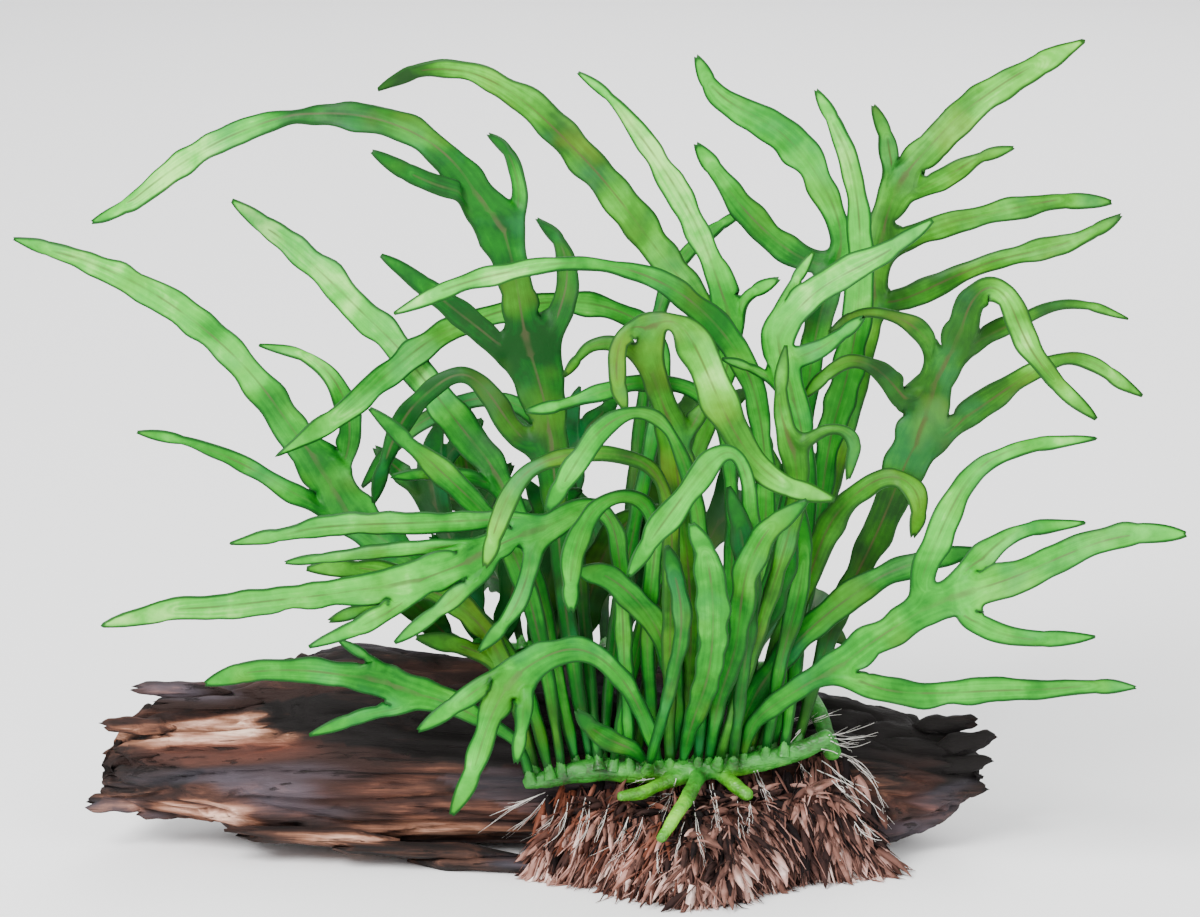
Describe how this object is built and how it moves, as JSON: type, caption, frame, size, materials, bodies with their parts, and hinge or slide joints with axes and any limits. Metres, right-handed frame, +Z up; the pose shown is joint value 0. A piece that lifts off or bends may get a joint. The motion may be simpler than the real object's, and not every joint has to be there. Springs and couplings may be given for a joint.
{
  "type": "java fern on driftwood",
  "caption": "Lobed java fern with arching fronds on a creeping rhizome and root mat, growing on a driftwood log that lies on its flat underside.",
  "frame": {"origin": "on the ground, in the middle of the log's flat underside", "axes": "+Z up, +X along the log to the fern's right as it is faced, +Y to the far side; the fern faces -Y"},
  "size_m": [0.2804, 0.164, 0.1959],
  "materials": {
    "pale_leaf": "satin",
    "dark_leaf": "satin",
    "olive_leaf": "satin",
    "green_stem": "satin",
    "brown_roots": "matte",
    "weathered_wood": "matte"
  },
  "bodies": {
    "root": {"driftwood": "weathered_wood", "frond_along_log": "pale_leaf", "frond_behind_arch": "dark_leaf", "frond_behind_top": "dark_leaf", "frond_big_right": "pale_leaf", "frond_central_olive": "olive_leaf", "frond_central_pale": "pale_leaf", "frond_edged_dark": "dark_leaf", "frond_far_left": "dark_leaf", "frond_front_drooping": "pale_leaf", "frond_front_short": "dark_leaf", "frond_hanging_lobe": "olive_leaf", "frond_inner_1": "dark_leaf", "frond_inner_10": "dark_leaf", "frond_inner_2": "pale_leaf", "frond_inner_3": "dark_leaf", "frond_inner_4": "olive_leaf", "frond_inner_5": "dark_leaf", "frond_inner_6": "dark_leaf", "frond_inner_7": "pale_leaf", "frond_inner_8": "olive_leaf", "frond_inner_9": "dark_leaf", "frond_inner_dark": "dark_leaf", "frond_leaning_dark": "dark_leaf", "frond_leaning_pale": "pale_leaf", "frond_left_pale": "pale_leaf", "frond_left_short": "dark_leaf", "frond_level": "dark_leaf", "frond_long_arch": "pale_leaf", "frond_narrow_arch": "dark_leaf", "frond_narrow_spear": "dark_leaf", "frond_olive_hook": "olive_leaf", "frond_pale_right": "pale_leaf", "frond_rear_1": "dark_leaf", "frond_rear_10": "dark_leaf", "frond_rear_2": "olive_leaf", "frond_rear_3": "dark_leaf", "frond_rear_4": "pale_leaf", "frond_rear_5": "olive_leaf", "frond_rear_6": "dark_leaf", "frond_rear_7": "pale_leaf", "frond_rear_8": "olive_leaf", "frond_rear_9": "pale_leaf", "frond_right_behind": "pale_leaf", "frond_right_olive": "olive_leaf", "frond_shadow_lobe": "dark_leaf", "frond_small_arch": "pale_leaf", "frond_small_hook": "olive_leaf", "frond_straight_pale": "pale_leaf", "frond_tall_left": "dark_leaf", "frond_top_arch": "dark_leaf", "frond_top_olive": "olive_leaf", "frond_top_pale": "pale_leaf", "frond_under_left": "olive_leaf", "frond_upper_middle": "dark_leaf", "frond_upper_right": "olive_leaf", "frond_upright_pale": "pale_leaf", "frond_wide_left": "pale_leaf", "rhizome": "green_stem", "root_mat": "brown_roots"}
  },
  "joints": []
}
